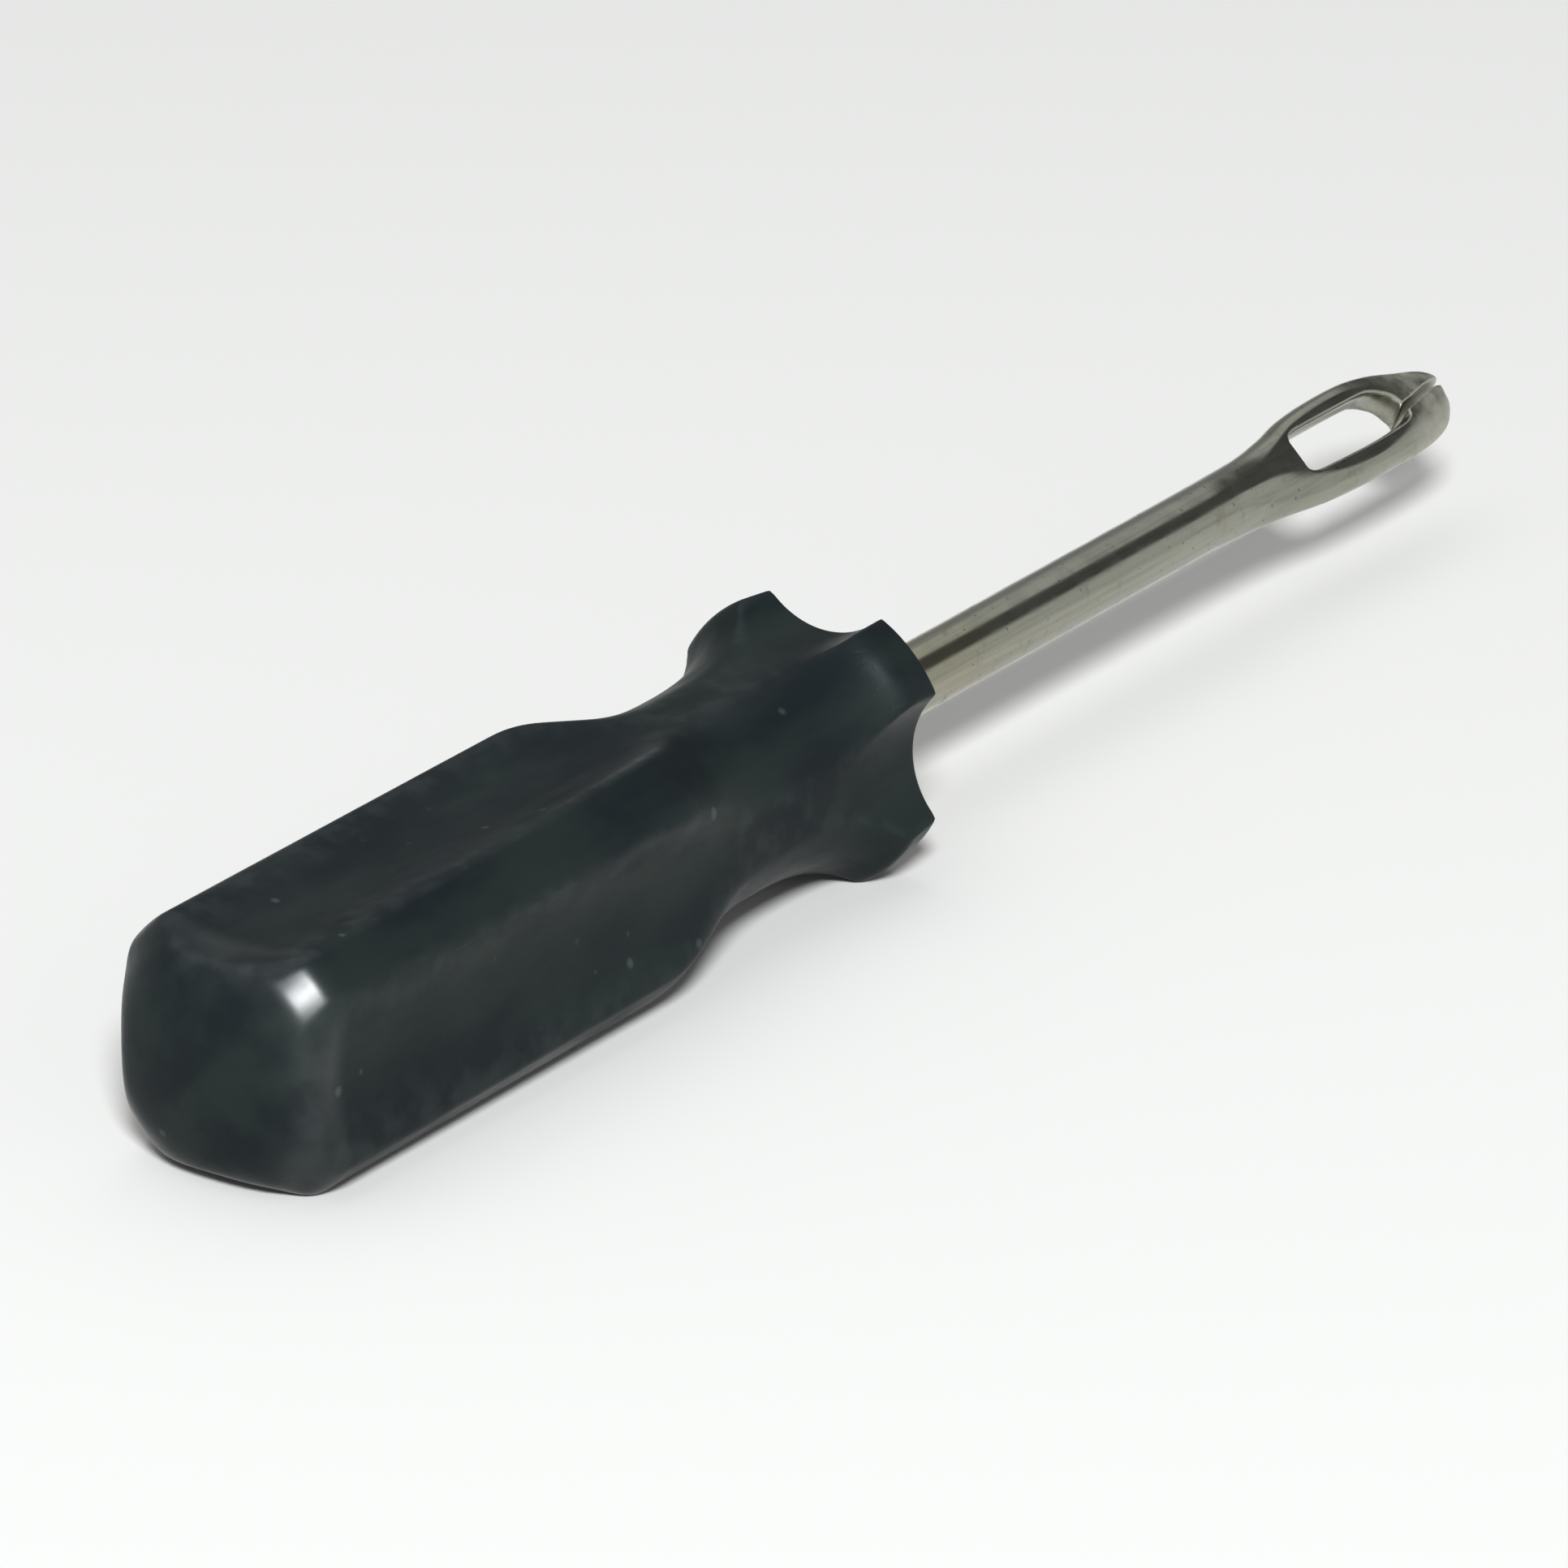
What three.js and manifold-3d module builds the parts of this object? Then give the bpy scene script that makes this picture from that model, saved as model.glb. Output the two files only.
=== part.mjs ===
// Tyre plug insertion tool: a four-lobed moulded grip on a split-eye steel needle.
//
// Units are millimetres. The tool lies along X, butt at -X and needle tip at +X,
// and rests on two neighbouring lobes of the grip, so that one flute faces straight up.
// The origin is under the middle of the tool, on the surface it rests on.
//
// Every shape is first made about the tool's own axis, with X = 0 at the butt.

import * as THREE from 'three';
import { mergeVertices } from 'three/addons/utils/BufferGeometryUtils.js';
import Module from 'manifold-3d';

const wasm = await Module();
wasm.setup();

// ---------------------------------------------------------------- driving dimensions

const gripLength = 80;                // butt to the collar's front face
const exposedLength = 89;             // front face to needle tip
const overallLength = gripLength + exposedLength;
const lobeCount = 4;

// Grip outline: stations along X and the radius over the lobes
const bodyRadius = 11.45;
const buttDomeHeight = 1.9;
const buttDomeRadius = 8.9;           // where the dome meets the rounded rim
const buttRimLength = 2.3;
const buttRimCorner = 0.3;            // share of the rim's length that lies ahead of its corner
const bodyEnd = 47.8;                 // crisp corner where the body falls to the waist
const shoulderEnd = 54.3;
const shoulderRadius = 9.35;
const shoulderBend = 3.2;             // reach of the curve from the shoulder into the waist
const waistStation = 62;
const waistRadius = 8.3;
const waistReach = 14;                // how far the waist's curve runs on before it climbs
const waistDip = 0.2;
const crestStation = 77;
const crestRadius = 11.7;
const crestReach = 2.2;               // how far the climb rounds over before the crest
const crestSwell = 0.15;
const frontEdgeRadius = 11.4;
const frontEdgeRounding = 0.3;

// Flutes: arcs that get deeper and tighter from the butt to the collar's face
const fluteArcAtButt = 16.5;
const fluteArcAtFront = 7.1;
const fluteBottomAtButt = 8.7;
const fluteBottomAtFront = 8.05;

// Needle
const shankRadius = 2.75;
const tangLength = 49;                // the part of the shank inside the grip
const tangTipChamfer = 0.8;
const flattenStart = 52;              // from the front face: the round shank begins to widen
const flattenEnd = 67;
const thinningReach = 7;              // length of the easing where the shank starts to thin
const paddleReach = 8;                // length of the easing where it meets the even leaf
const paddleThickness = 2.9;
const noseThickness = 1.9;
const edgeRounding = 0.25;            // how far the rounded blank stands out past the leaf

// Wings pinched out of the tang, which stop the needle turning or pulling out
const wingStart = 36.5;
const wingLength = 12;
const wingSpan = 8.4;
const wingThickness = 2.8;

// Eye and the slit that opens it at the nose, in the plane of the leaf
const eyeStart = 66.7;                // from the front face
const eyeEnd = 81.6;
const eyeUpperEdge = 2.1;             // the eye sits towards the slimmer, upper prong
const eyeLowerEdge = -1.3;
const eyeBelly = 0.9;                 // twice how far the lower edge bows outwards
const eyeBellyLead = 1;               // how far the bow's middle lies ahead of the eye's middle
const eyeFrontFoot = 0.6;             // where the lower edge ends, back from eyeEnd
const eyeFrontWall = [                // curves of the leaning front wall, with X from eyeEnd
  { corner: [0.3, eyeLowerEdge], tip: [0.1, -0.6] },
  { corner: [-0.4, 0.7], tip: [-1.5, 1.4] },
  { corner: [-2.4, eyeUpperEdge], tip: [-4, eyeUpperEdge] },
];
const eyeCorner = 0.9;                // rounding of the eye's two rear corners
const slitWidth = 0.5;
const slitStart = 81;                 // from the front face, where the slit leaves the eye
const slitStartHeight = -1.2;
const slitBend = 84.9;
const slitBendHeight = -0.33;
const slitEndHeight = 0.1;
const noseOverrun = 1;                // how far cutters run on past the tip
const noseTipRadius = 1.2;            // the blank's rounded nose
const noseTipEdge = 0.3;
const noseShoulderRadius = 2;

const assemblyGap = 0.3;              // clearance all round the moulded-in tang
const leafAngle = Math.PI / 4;        // the leaf lies flat across one lobe

// ---------------------------------------------------------------- helpers

// Turns a geometry whose length runs along Y into one that runs along X.
function layAlongX(geometry) {
  return geometry.rotateZ(-Math.PI / 2);
}

// Revolves an outline of (station, radius) points about X.
function turned(outline, segments) {
  const profile = outline.map((p) => new THREE.Vector2(p.y, p.x));
  return layAlongX(new THREE.LatheGeometry(profile, segments));
}

// Extrudes a closed (X, sideways) outline evenly to both sides of its own plane.
function plate(shape, thickness, curveSegments = 12) {
  const geometry = new THREE.ExtrudeGeometry(shape, {
    depth: thickness, bevelEnabled: false, curveSegments,
  });
  return geometry.translate(0, 0, -thickness / 2);
}

// A smooth line through (distance from the front face, sideways) pairs.
function fairedThrough(pairs) {
  return new THREE.SplineCurve(pairs.map(([x, y]) => new THREE.Vector2(gripLength + x, y)));
}

// The same mesh with every triangle turned to face the other way.
function flipped(mesh) {
  const triVerts = mesh.triVerts.slice();
  for (let i = 0; i < triVerts.length; i += 3) {
    [triVerts[i], triVerts[i + 1]] = [triVerts[i + 1], triVerts[i]];
  }
  return new wasm.Mesh({ numProp: 3, vertProperties: mesh.vertProperties, triVerts });
}

function solid(geometry) {
  const bare = geometry.clone();
  bare.deleteAttribute('normal');
  bare.deleteAttribute('uv');
  const merged = mergeVertices(bare, 1e-4);
  const mesh = new wasm.Mesh({
    numProp: 3,
    vertProperties: new Float32Array(merged.attributes.position.array),
    triVerts: new Uint32Array(merged.index.array),
  });
  mesh.merge();
  const body = new wasm.Manifold(mesh);
  return body.volume() < 0 ? new wasm.Manifold(flipped(mesh)) : body;
}

function toGeometry(body) {
  const mesh = body.getMesh();
  const geometry = new THREE.BufferGeometry();
  geometry.setAttribute('position', new THREE.BufferAttribute(mesh.vertProperties.slice(), 3));
  geometry.setIndex(new THREE.BufferAttribute(mesh.triVerts.slice(), 1));
  geometry.computeVertexNormals();
  return geometry;
}

// ---------------------------------------------------------------- grip

function gripOutline() {
  const outline = new THREE.Path();
  outline.moveTo(0, 0);
  outline.quadraticCurveTo(0, buttDomeRadius / 2, buttDomeHeight, buttDomeRadius);
  const rimEnd = buttDomeHeight + buttRimLength;
  const rimCorner = buttDomeHeight + buttRimCorner * buttRimLength;
  outline.quadraticCurveTo(rimCorner, bodyRadius, rimEnd, bodyRadius);
  outline.lineTo(bodyEnd, bodyRadius);
  outline.lineTo(shoulderEnd, shoulderRadius);
  outline.quadraticCurveTo(shoulderEnd + shoulderBend, waistRadius, waistStation, waistRadius);
  outline.bezierCurveTo(
    waistStation + waistReach, waistRadius - waistDip,
    crestStation - crestReach, crestRadius + crestSwell,
    crestStation, crestRadius);
  outline.lineTo(gripLength - frontEdgeRounding, frontEdgeRadius);
  outline.lineTo(gripLength, frontEdgeRadius - frontEdgeRounding);
  outline.lineTo(gripLength, 0);
  return outline.getPoints(8);
}

// A tapered round cutter whose inner side is the bottom of one flute.
function fluteCutter() {
  const overrun = 6;
  const cutLength = gripLength + 2 * overrun;
  const at = (station, butt, front) => butt + (front - butt) * station / gripLength;
  const arc = (station) => at(station, fluteArcAtButt, fluteArcAtFront);
  const centre = (station) => arc(station) + at(station, fluteBottomAtButt, fluteBottomAtFront);
  const cutter = layAlongX(
    new THREE.CylinderGeometry(arc(gripLength + overrun), arc(-overrun), cutLength, 64));
  const lean = Math.atan2(centre(gripLength + overrun) - centre(-overrun), cutLength);
  cutter.rotateY(-lean);
  return cutter.translate(gripLength / 2, 0, centre(gripLength / 2));
}

// The flat wings on the tang, made thicker on every side by the given clearance.
function wingPlate(clearance) {
  const wings = new THREE.BoxGeometry(
    wingLength + 2 * clearance, wingSpan + 2 * clearance, wingThickness + 2 * clearance);
  return wings.translate(wingStart + wingLength / 2, 0, 0).rotateX(leafAngle);
}

function tangPocket() {
  const bore = layAlongX(new THREE.CylinderGeometry(
    shankRadius + assemblyGap, shankRadius + assemblyGap, tangLength + 2 * assemblyGap, 32));
  bore.translate(gripLength - tangLength / 2, 0, 0);
  return solid(bore).add(solid(wingPlate(assemblyGap)));
}

function makeGrip() {
  let grip = solid(turned(gripOutline(), 96));
  for (let i = 0; i < lobeCount; i += 1) {
    const cutter = fluteCutter().rotateX(i * 2 * Math.PI / lobeCount);
    grip = grip.subtract(solid(cutter));
  }
  return toGeometry(grip.subtract(tangPocket()));
}

// ---------------------------------------------------------------- needle

// The round blank: tang and shank, then a swelling a little wider than the leaf.
function blankOutline() {
  const tangStart = gripLength - tangLength;
  const swelling = fairedThrough([
    [flattenStart, shankRadius], [62, 3.5 + edgeRounding], [70, 4 + edgeRounding],
    [79, 4 + edgeRounding], [84, 3.85 + edgeRounding], [87.2, 3.2],
  ]);
  return [
    new THREE.Vector2(tangStart, 0),
    new THREE.Vector2(tangStart, shankRadius - tangTipChamfer),
    new THREE.Vector2(tangStart + tangTipChamfer, shankRadius),
    new THREE.Vector2(gripLength, shankRadius),
    ...swelling.getPoints(18),
    new THREE.Vector2(overallLength - noseTipEdge, noseShoulderRadius),
    new THREE.Vector2(overallLength, noseTipRadius),
    new THREE.Vector2(overallLength, 0),
  ];
}

// Side view of the forged leaf: round shank, even paddle, thinner nose.
function leafSideView() {
  const side = new THREE.Shape();
  const start = gripLength + flattenStart;
  const end = gripLength + flattenEnd;
  const nose = overallLength + noseOverrun;
  const clear = 2 * shankRadius;
  side.moveTo(-1, -clear);
  side.lineTo(start, -clear);
  side.lineTo(start, -shankRadius);
  side.bezierCurveTo(start + thinningReach, -shankRadius,
    end - paddleReach, -paddleThickness / 2, end, -paddleThickness / 2);
  side.lineTo(gripLength + eyeEnd, -paddleThickness / 2);
  side.lineTo(nose, -noseThickness / 2);
  side.lineTo(nose, noseThickness / 2);
  side.lineTo(gripLength + eyeEnd, paddleThickness / 2);
  side.lineTo(end, paddleThickness / 2);
  side.bezierCurveTo(end - paddleReach, paddleThickness / 2,
    start + thinningReach, shankRadius, start, shankRadius);
  side.lineTo(start, clear);
  side.lineTo(-1, clear);
  return side;
}

// Plan view of the leaf. The upper prong is drawn in towards a blunt nose.
function leafPlanView() {
  const clear = 2 * shankRadius;
  const upper = fairedThrough([
    [flattenStart, shankRadius], [60, 2.8], [64.5, 3.15], [68, 3.75], [72, 4], [77, 4],
    [81, 3.4], [84.5, 2.4], [87.6, 1.5], [exposedLength, 0.2],
  ]);
  const lower = fairedThrough([
    [88.6, -0.7], [88, -2.1], [85.8, -3.35], [82, -3.9], [75, -3.95],
    [68, -3.7], [61, -3.05], [flattenStart, -shankRadius],
  ]);
  const plan = new THREE.Shape();
  plan.moveTo(-1, clear);
  plan.lineTo(gripLength + flattenStart, clear);
  for (const point of [...upper.getPoints(24), ...lower.getPoints(24)]) {
    plan.lineTo(point.x, point.y);
  }
  plan.lineTo(gripLength + flattenStart, -clear);
  plan.lineTo(-1, -clear);
  return plan;
}

function eyeOutline() {
  const start = gripLength + eyeStart;
  const end = gripLength + eyeEnd;
  const eye = new THREE.Shape();
  eye.moveTo(start + eyeCorner, eyeLowerEdge);
  const bow = (start + end) / 2 + eyeBellyLead;
  eye.quadraticCurveTo(bow, eyeLowerEdge - eyeBelly, end - eyeFrontFoot, eyeLowerEdge);
  for (const { corner, tip } of eyeFrontWall) {
    eye.quadraticCurveTo(end + corner[0], corner[1], end + tip[0], tip[1]);
  }
  eye.lineTo(start + eyeCorner, eyeUpperEdge);
  eye.quadraticCurveTo(start, eyeUpperEdge, start, eyeUpperEdge - eyeCorner);
  eye.lineTo(start, eyeLowerEdge + eyeCorner);
  eye.quadraticCurveTo(start, eyeLowerEdge, start + eyeCorner, eyeLowerEdge);
  return eye;
}

// A curved saw cut from the eye's lower corner to the middle of the nose.
function slitOutline() {
  const half = slitWidth / 2;
  const start = gripLength + slitStart;
  const bend = gripLength + slitBend;
  const nose = overallLength + noseOverrun;
  const slit = new THREE.Shape();
  slit.moveTo(start, slitStartHeight);
  slit.quadraticCurveTo(bend, slitBendHeight - half, nose, slitEndHeight - half);
  slit.lineTo(nose, slitEndHeight + half);
  slit.quadraticCurveTo(bend, slitBendHeight + half, start, slitStartHeight + slitWidth);
  return slit;
}

function makeNeedle() {
  const through = 4 * shankRadius;
  const sideView = plate(leafSideView(), through, 16).rotateX(Math.PI / 2);
  let needle = solid(turned(blankOutline(), 48));
  for (const view of [sideView, plate(leafPlanView(), through)]) {
    needle = needle.intersect(solid(view));
  }
  for (const cut of [eyeOutline(), slitOutline()]) {
    needle = needle.subtract(solid(plate(cut, through)));
  }
  const leaf = toGeometry(needle).rotateX(leafAngle);
  return toGeometry(solid(leaf).add(solid(wingPlate(0))));
}

// ---------------------------------------------------------------- assembly

const gripPlastic = new THREE.MeshStandardMaterial({
  color: 0x1b2226, roughness: 0.42, metalness: 0,
});
const platedSteel = new THREE.MeshStandardMaterial({
  color: 0xb4b5a4, roughness: 0.24, metalness: 1,
});

function named(name, geometry, material) {
  const mesh = new THREE.Mesh(geometry, material);
  mesh.name = name;
  return mesh;
}

const grip = named('handle', makeGrip(), gripPlastic);
const needle = named('split_eye_needle', makeNeedle(), platedSteel);

grip.geometry.computeBoundingBox();
const axisHeight = -grip.geometry.boundingBox.min.z;

const tool = new THREE.Group();
tool.add(grip, needle);
tool.position.set(-overallLength / 2, 0, axisHeight);

export default tool;
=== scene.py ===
"""Tyre plug insertion tool: a four-lobed moulded grip on a split-eye steel needle.

The tool lies along X, butt at -X and needle tip at +X, with one flute of the grip facing up.
Sizes are in metres. Stations on the grip are measured from its butt, and stations on the
needle from the collar's front face. The needle's leaf is flat in a plane that is turned by
LEAF_ANGLE about the tool's axis: "sideways" lies in that plane and "through" stands on it.
"""

import math

import bpy
import numpy as np
from bpy.props import FloatProperty, FloatVectorProperty, IntProperty, PointerProperty
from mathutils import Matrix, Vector


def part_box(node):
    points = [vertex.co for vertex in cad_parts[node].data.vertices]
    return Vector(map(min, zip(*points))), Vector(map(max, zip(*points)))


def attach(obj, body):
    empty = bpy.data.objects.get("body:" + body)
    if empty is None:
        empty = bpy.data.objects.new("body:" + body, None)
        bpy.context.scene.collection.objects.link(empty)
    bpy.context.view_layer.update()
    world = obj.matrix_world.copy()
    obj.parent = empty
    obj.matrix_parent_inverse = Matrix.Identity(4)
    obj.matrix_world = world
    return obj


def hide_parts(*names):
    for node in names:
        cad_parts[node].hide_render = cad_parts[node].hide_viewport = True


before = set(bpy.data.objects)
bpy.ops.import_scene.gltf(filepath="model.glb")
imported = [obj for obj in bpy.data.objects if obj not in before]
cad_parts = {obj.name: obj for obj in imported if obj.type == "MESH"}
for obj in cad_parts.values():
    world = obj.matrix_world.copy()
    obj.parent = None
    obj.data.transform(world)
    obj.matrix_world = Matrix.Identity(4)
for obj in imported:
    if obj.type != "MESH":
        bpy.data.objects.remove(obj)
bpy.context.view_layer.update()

bl_info = {
    "name": "Tyre plug insertion tool",
    "version": (1, 0, 0),
    "blender": (4, 5, 0),
    "location": "3D View > Sidebar > Plug tool",
    "description": "Makes a fluted grip, a split-eye needle and a studio to show them in",
    "category": "Object",
}

MM = 0.001
GRIP_LOW, GRIP_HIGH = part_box("handle")
GRIP_LENGTH = GRIP_HIGH.x - GRIP_LOW.x
AXIS_HEIGHT = (GRIP_LOW.z + GRIP_HIGH.z) / 2
BUTT = Vector((GRIP_LOW.x, 0, AXIS_HEIGHT))
FACE = Vector((GRIP_HIGH.x, 0, AXIS_HEIGHT))
LEAF_ANGLE = math.radians(45)
FACE_CORNER = 0.3 * MM
TANG_CLEARANCE = 0.05 * MM
FRAMING_SHIFT = Vector((-5.1, 3.5, -5.3)) * MM
BODY = "root"


# ---------------------------------------------------------------- settings


def length(name, description, millimetres):
    """A size that a user can change."""
    return FloatProperty(
        name=name, description=description, default=millimetres * MM, unit="LENGTH", precision=5)


def colour(name, description, default):
    """A linear colour that a user can change."""
    return FloatVectorProperty(
        name=name, description=description, default=default, subtype="COLOR", size=3, min=0, max=1)


class PLUGTOOL_PG_grip(bpy.types.PropertyGroup):
    """Sizes and colours of the moulded grip."""

    body_radius: length("Body radius", "Axis to the lobes of the body", 11.55)
    dome_height: length("Dome height", "How far the butt is domed", 1.9)
    dome_radius: length("Dome radius", "Where the dome turns into the rounded rim", 8.9)
    rim_length: length("Rim length", "Length of the butt's slanting rim along the grip", 2.8)
    rim_softness: length("Rim softness", "Rounding at both sides of the rim", 1.1)
    corner_softness: length("Corner softness", "Rounding where the body ends", 2.6)
    body_end: length("Body end", "Station of the crisp corner before the waist", 47.8)
    shoulder_station: length("Shoulder station", "Where the straight fall ends", 54.3)
    shoulder_radius: length("Shoulder radius", "Radius where the straight fall ends", 9.35)
    waist_station: length("Waist station", "Where the grip is slimmest", 62)
    waist_radius: length("Waist radius", "Radius where the grip is slimmest", 8.3)
    crest_station: length("Crest station", "Where the collar is widest", 77)
    crest_radius: length("Crest radius", "Radius where the collar is widest", 11.7)
    front_radius: length("Front radius", "Radius of the collar's front edge", 11.4)
    flute_arc_butt: length("Flute arc at butt", "Radius of a flute's hollow at the butt", 16.5)
    flute_arc_front: length("Flute arc at front", "Radius of a flute's hollow at the collar", 7.1)
    flute_bottom_butt: length("Flute bottom at butt", "Axis to a flute's bottom at the butt", 8.7)
    flute_bottom_front: length("Flute bottom at front", "The same at the collar's face", 8.05)
    soft_butt: length("Edge softness at butt", "How widely the lobes' edges are rounded", 3.4)
    soft_front: length("Edge softness at front", "The same at the collar's face", 0.8)
    lobe_count: IntProperty(name="Lobes", description="Number of lobes", default=4, min=2, max=12)
    sectors: IntProperty(
        name="Sectors", description="Faces round the grip", default=360, min=48, max=720)
    dark_shade: colour("Dark shade", "Blue-black of the plastic", (0.0072, 0.0101, 0.0116))
    light_shade: colour("Light shade", "Greener black of the plastic", (0.0120, 0.0169, 0.0162))
    gloss: FloatProperty(
        name="Roughness", description="How matt the plastic is", default=0.36, min=0, max=1)


class PLUGTOOL_PG_needle(bpy.types.PropertyGroup):
    """Sizes and colours of the steel needle."""

    shank_radius: length("Shank radius", "Radius of the round shank", 2.75)
    tang_length: length("Tang length", "Length of the shank inside the grip", 49)
    leaf_thickness: length("Leaf thickness", "Thickness of the forged leaf", 2.9)
    nose_thickness: length("Nose thickness", "Thickness at the tip", 1.9)
    eye_edge: length("Eye edge", "How widely the eye's rim is rounded", 0.35)
    slit_edge: length("Slit edge", "How widely the slit's rims are rounded", 0.16)
    slit_width: length("Slit width", "Width of the saw slit", 0.45)
    slit_lean: FloatProperty(
        name="Slit lean", description="How far the slit leans off square to the leaf",
        default=math.radians(24), subtype="ANGLE")
    wing_start: length("Wing start", "Station on the grip where the tang's wings begin", 36.5)
    wing_length: length("Wing length", "Length of the wings", 12)
    wing_span: length("Wing span", "Width over both wings", 8.4)
    wing_thickness: length("Wing thickness", "Thickness of the wings", 2.8)
    leaf_mesh: length("Leaf mesh", "Size of the faces on the leaf", 0.15)
    shank_mesh: length("Shank mesh", "Length of the faces on the shank", 0.8)
    plate_colour: colour("Plate colour", "Colour of the nickel plate", (0.34, 0.34, 0.285))
    warm_colour: colour("Warm colour", "Warm tint beside the collar", (0.37, 0.34, 0.235))
    polish: FloatProperty(
        name="Roughness", description="How matt the plate is", default=0.16, min=0, max=1)


class PLUGTOOL_PG_stage(bpy.types.PropertyGroup):
    """The floor, the lights and the camera."""

    floor_colour: colour("Floor colour", "Colour of the plain floor", (0.635, 0.625, 0.61))
    floor_size: length("Floor size", "Side of the square floor", 8000)
    key_power: FloatProperty(name="Key power", description="Power of the key light in watts",
                             default=92, min=0)
    top_power: FloatProperty(name="Top power", description="Power of the softbox in watts",
                             default=8, min=0)
    room_light: FloatProperty(name="Room light", description="Brightness of the room's walls",
                              default=0.72, min=0)
    band_light: FloatProperty(name="Band light", description="Brightness of its dark band",
                              default=0.12, min=0)
    band_tilt: FloatProperty(name="Band tilt", description="Height of the band's middle",
                             default=math.radians(61), subtype="ANGLE")
    corner_tilt: FloatProperty(name="Corner tilt", description="Where the dark corner begins",
                               default=math.radians(41), subtype="ANGLE")
    azimuth: FloatProperty(name="Azimuth", description="Camera's turn about the vertical",
                           default=math.radians(-55.6), subtype="ANGLE")
    elevation: FloatProperty(name="Elevation", description="Camera's height above the horizon",
                             default=math.radians(22.6), subtype="ANGLE")
    distance: length("Distance", "From the camera to the tool", 950)
    focal_length: FloatProperty(name="Focal length", description="Lens on a 36 mm sensor",
                                default=285, min=20, unit="CAMERA")


# ---------------------------------------------------------------- helpers


class Wiring:
    """Adds nodes to a tree and joins them up."""

    def __init__(self, tree):
        self.tree = tree

    def add(self, kind, inputs=(), **settings):
        """A node of this kind. Inputs are values or sockets, in order or by the socket's name."""
        node = self.tree.nodes.new(kind)
        for name, value in settings.items():
            setattr(node, name, value)
        pairs = inputs.items() if isinstance(inputs, dict) else enumerate(inputs)
        for key, value in pairs:
            if isinstance(value, bpy.types.NodeSocket):
                self.tree.links.new(value, node.inputs[key])
            else:
                node.inputs[key].default_value = value
        return node

    def math(self, operation, *values):
        """The result of one sum on plain numbers."""
        return self.add("ShaderNodeMath", values, operation=operation).outputs[0]

    def between(self, share, start, end):
        """The number that lies this share of the way from start to end."""
        return self.math("MULTIPLY_ADD", share, self.math("SUBTRACT", end, start), start)

    def ramp(self, value, low, high, low_result, high_result):
        """A smooth step from low_result to high_result as value goes from low to high."""
        node = self.add(
            "ShaderNodeMapRange", (value, low, high, low_result, high_result),
            interpolation_type="SMOOTHSTEP")
        return node.outputs[0]

    def blend(self, share, first, second):
        """A colour between two others."""
        node = self.add("ShaderNodeMix", data_type="RGBA")
        for socket, value in ((0, share), (6, first), (7, second)):
            if isinstance(value, bpy.types.NodeSocket):
                self.tree.links.new(value, node.inputs[socket])
            else:
                node.inputs[socket].default_value = value
        return node.outputs[2]


def rgba(colour_value):
    """A colour property as the four numbers that a socket takes."""
    return (*colour_value, 1)


def mesh_object(name, mesh):
    """A new object at the origin that shows a mesh."""
    thing = bpy.data.objects.new(name, mesh)
    bpy.context.scene.collection.objects.link(thing)
    return thing


def curve_through(start, corner, end, steps):
    """The points after start on a curve that leaves towards corner and arrives from it."""
    for step in range(1, steps + 1):
        t = step / steps
        yield start * (1 - t) ** 2 + corner * 2 * t * (1 - t) + end * t ** 2


def curve_with_handles(start, first, second, end, steps):
    """The points after start on a curve with two handles."""
    for step in range(1, steps + 1):
        t = step / steps
        s = 1 - t
        yield start * s ** 3 + first * 3 * t * s * s + second * 3 * t * t * s + end * t ** 3


def faired(pairs, steps):
    """A smooth line through (station, sideways) pairs given in millimetres."""
    known = np.array(pairs, float)
    padded = np.vstack([2 * known[0] - known[1], known, 2 * known[-1] - known[-2]])
    line = []
    for i in range(1, len(padded) - 2):
        before, here, there, after = padded[i - 1:i + 3]
        for t in np.arange(steps) / steps:
            line.append(0.5 * (
                2 * here + (there - before) * t
                + (2 * before - 5 * here + 4 * there - after) * t ** 2
                + (3 * here - before - 3 * there + after) * t ** 3))
    line.append(known[-1])
    return np.array(line) * MM


# ---------------------------------------------------------------- materials


def new_material(name):
    """A material with a Principled shader, and the wiring to add nodes with."""
    material = bpy.data.materials.new(name)
    material.use_nodes = True
    wiring = Wiring(material.node_tree)
    shader = material.node_tree.nodes["Principled BSDF"]
    return material, wiring, shader


def object_place(wiring, centre, scale=(1, 1, 1)):
    """Object coordinates, moved and then scaled."""
    place = wiring.add("ShaderNodeTexCoord").outputs["Object"]
    moved = wiring.add("ShaderNodeVectorMath", (place, [-c for c in centre]), operation="ADD")
    scaled = wiring.add(
        "ShaderNodeVectorMath", (moved.outputs[0], scale), operation="MULTIPLY")
    return scaled.outputs[0]


def noise(wiring, place, scale, detail, roughness=0.5):
    """Soft noise from 0 to 1 at a place."""
    node = wiring.add(
        "ShaderNodeTexNoise",
        {"Vector": place, "Scale": scale, "Detail": detail, "Roughness": roughness})
    return node.outputs["Fac"]


WORN_PLASTIC = (0.030, 0.036, 0.037, 1)
DUST = (0.085, 0.098, 0.10, 1)
RIM_START = (0.8 * MM, 2.4 * MM)
RIM_END = (4.2 * MM, 6.5 * MM)


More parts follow.
